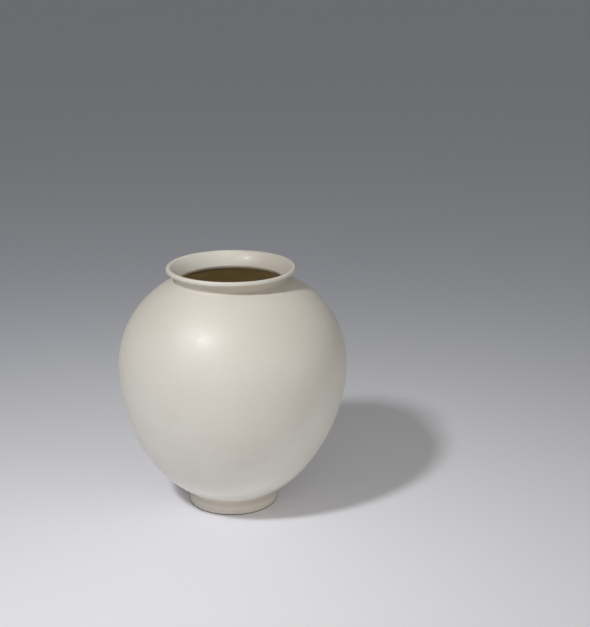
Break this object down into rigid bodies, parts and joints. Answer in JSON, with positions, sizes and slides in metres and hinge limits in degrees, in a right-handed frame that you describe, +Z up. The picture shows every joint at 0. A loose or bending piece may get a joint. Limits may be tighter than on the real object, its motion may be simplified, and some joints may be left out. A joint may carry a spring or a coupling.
{
  "type": "korean moon jar",
  "caption": "Large round white porcelain jar luted from two thrown bowls, with a low flared neck, rolled lip and turned foot ring.",
  "frame": {"origin": "centre of the foot ring's resting plane", "axes": "+Z up along the jar's axis of turning, +X to the right and -Y to the front as pictured"},
  "size_m": [0.4049, 0.405, 0.44],
  "materials": {
    "white_glaze": "warm milk white glaze, satin gloss",
    "foot_glaze": "warm milk white glaze, satin gloss, wiped off the resting face",
    "slip": "fired porcelain slip, matte where no glaze covers it"
  },
  "bodies": {
    "root": {"lower_bowl": "white_glaze", "upper_bowl": "white_glaze", "neck_collar": "white_glaze", "foot_ring": "foot_glaze", "belly_slip": "slip", "neck_slip": "slip", "foot_slip": "slip"}
  },
  "joints": []
}
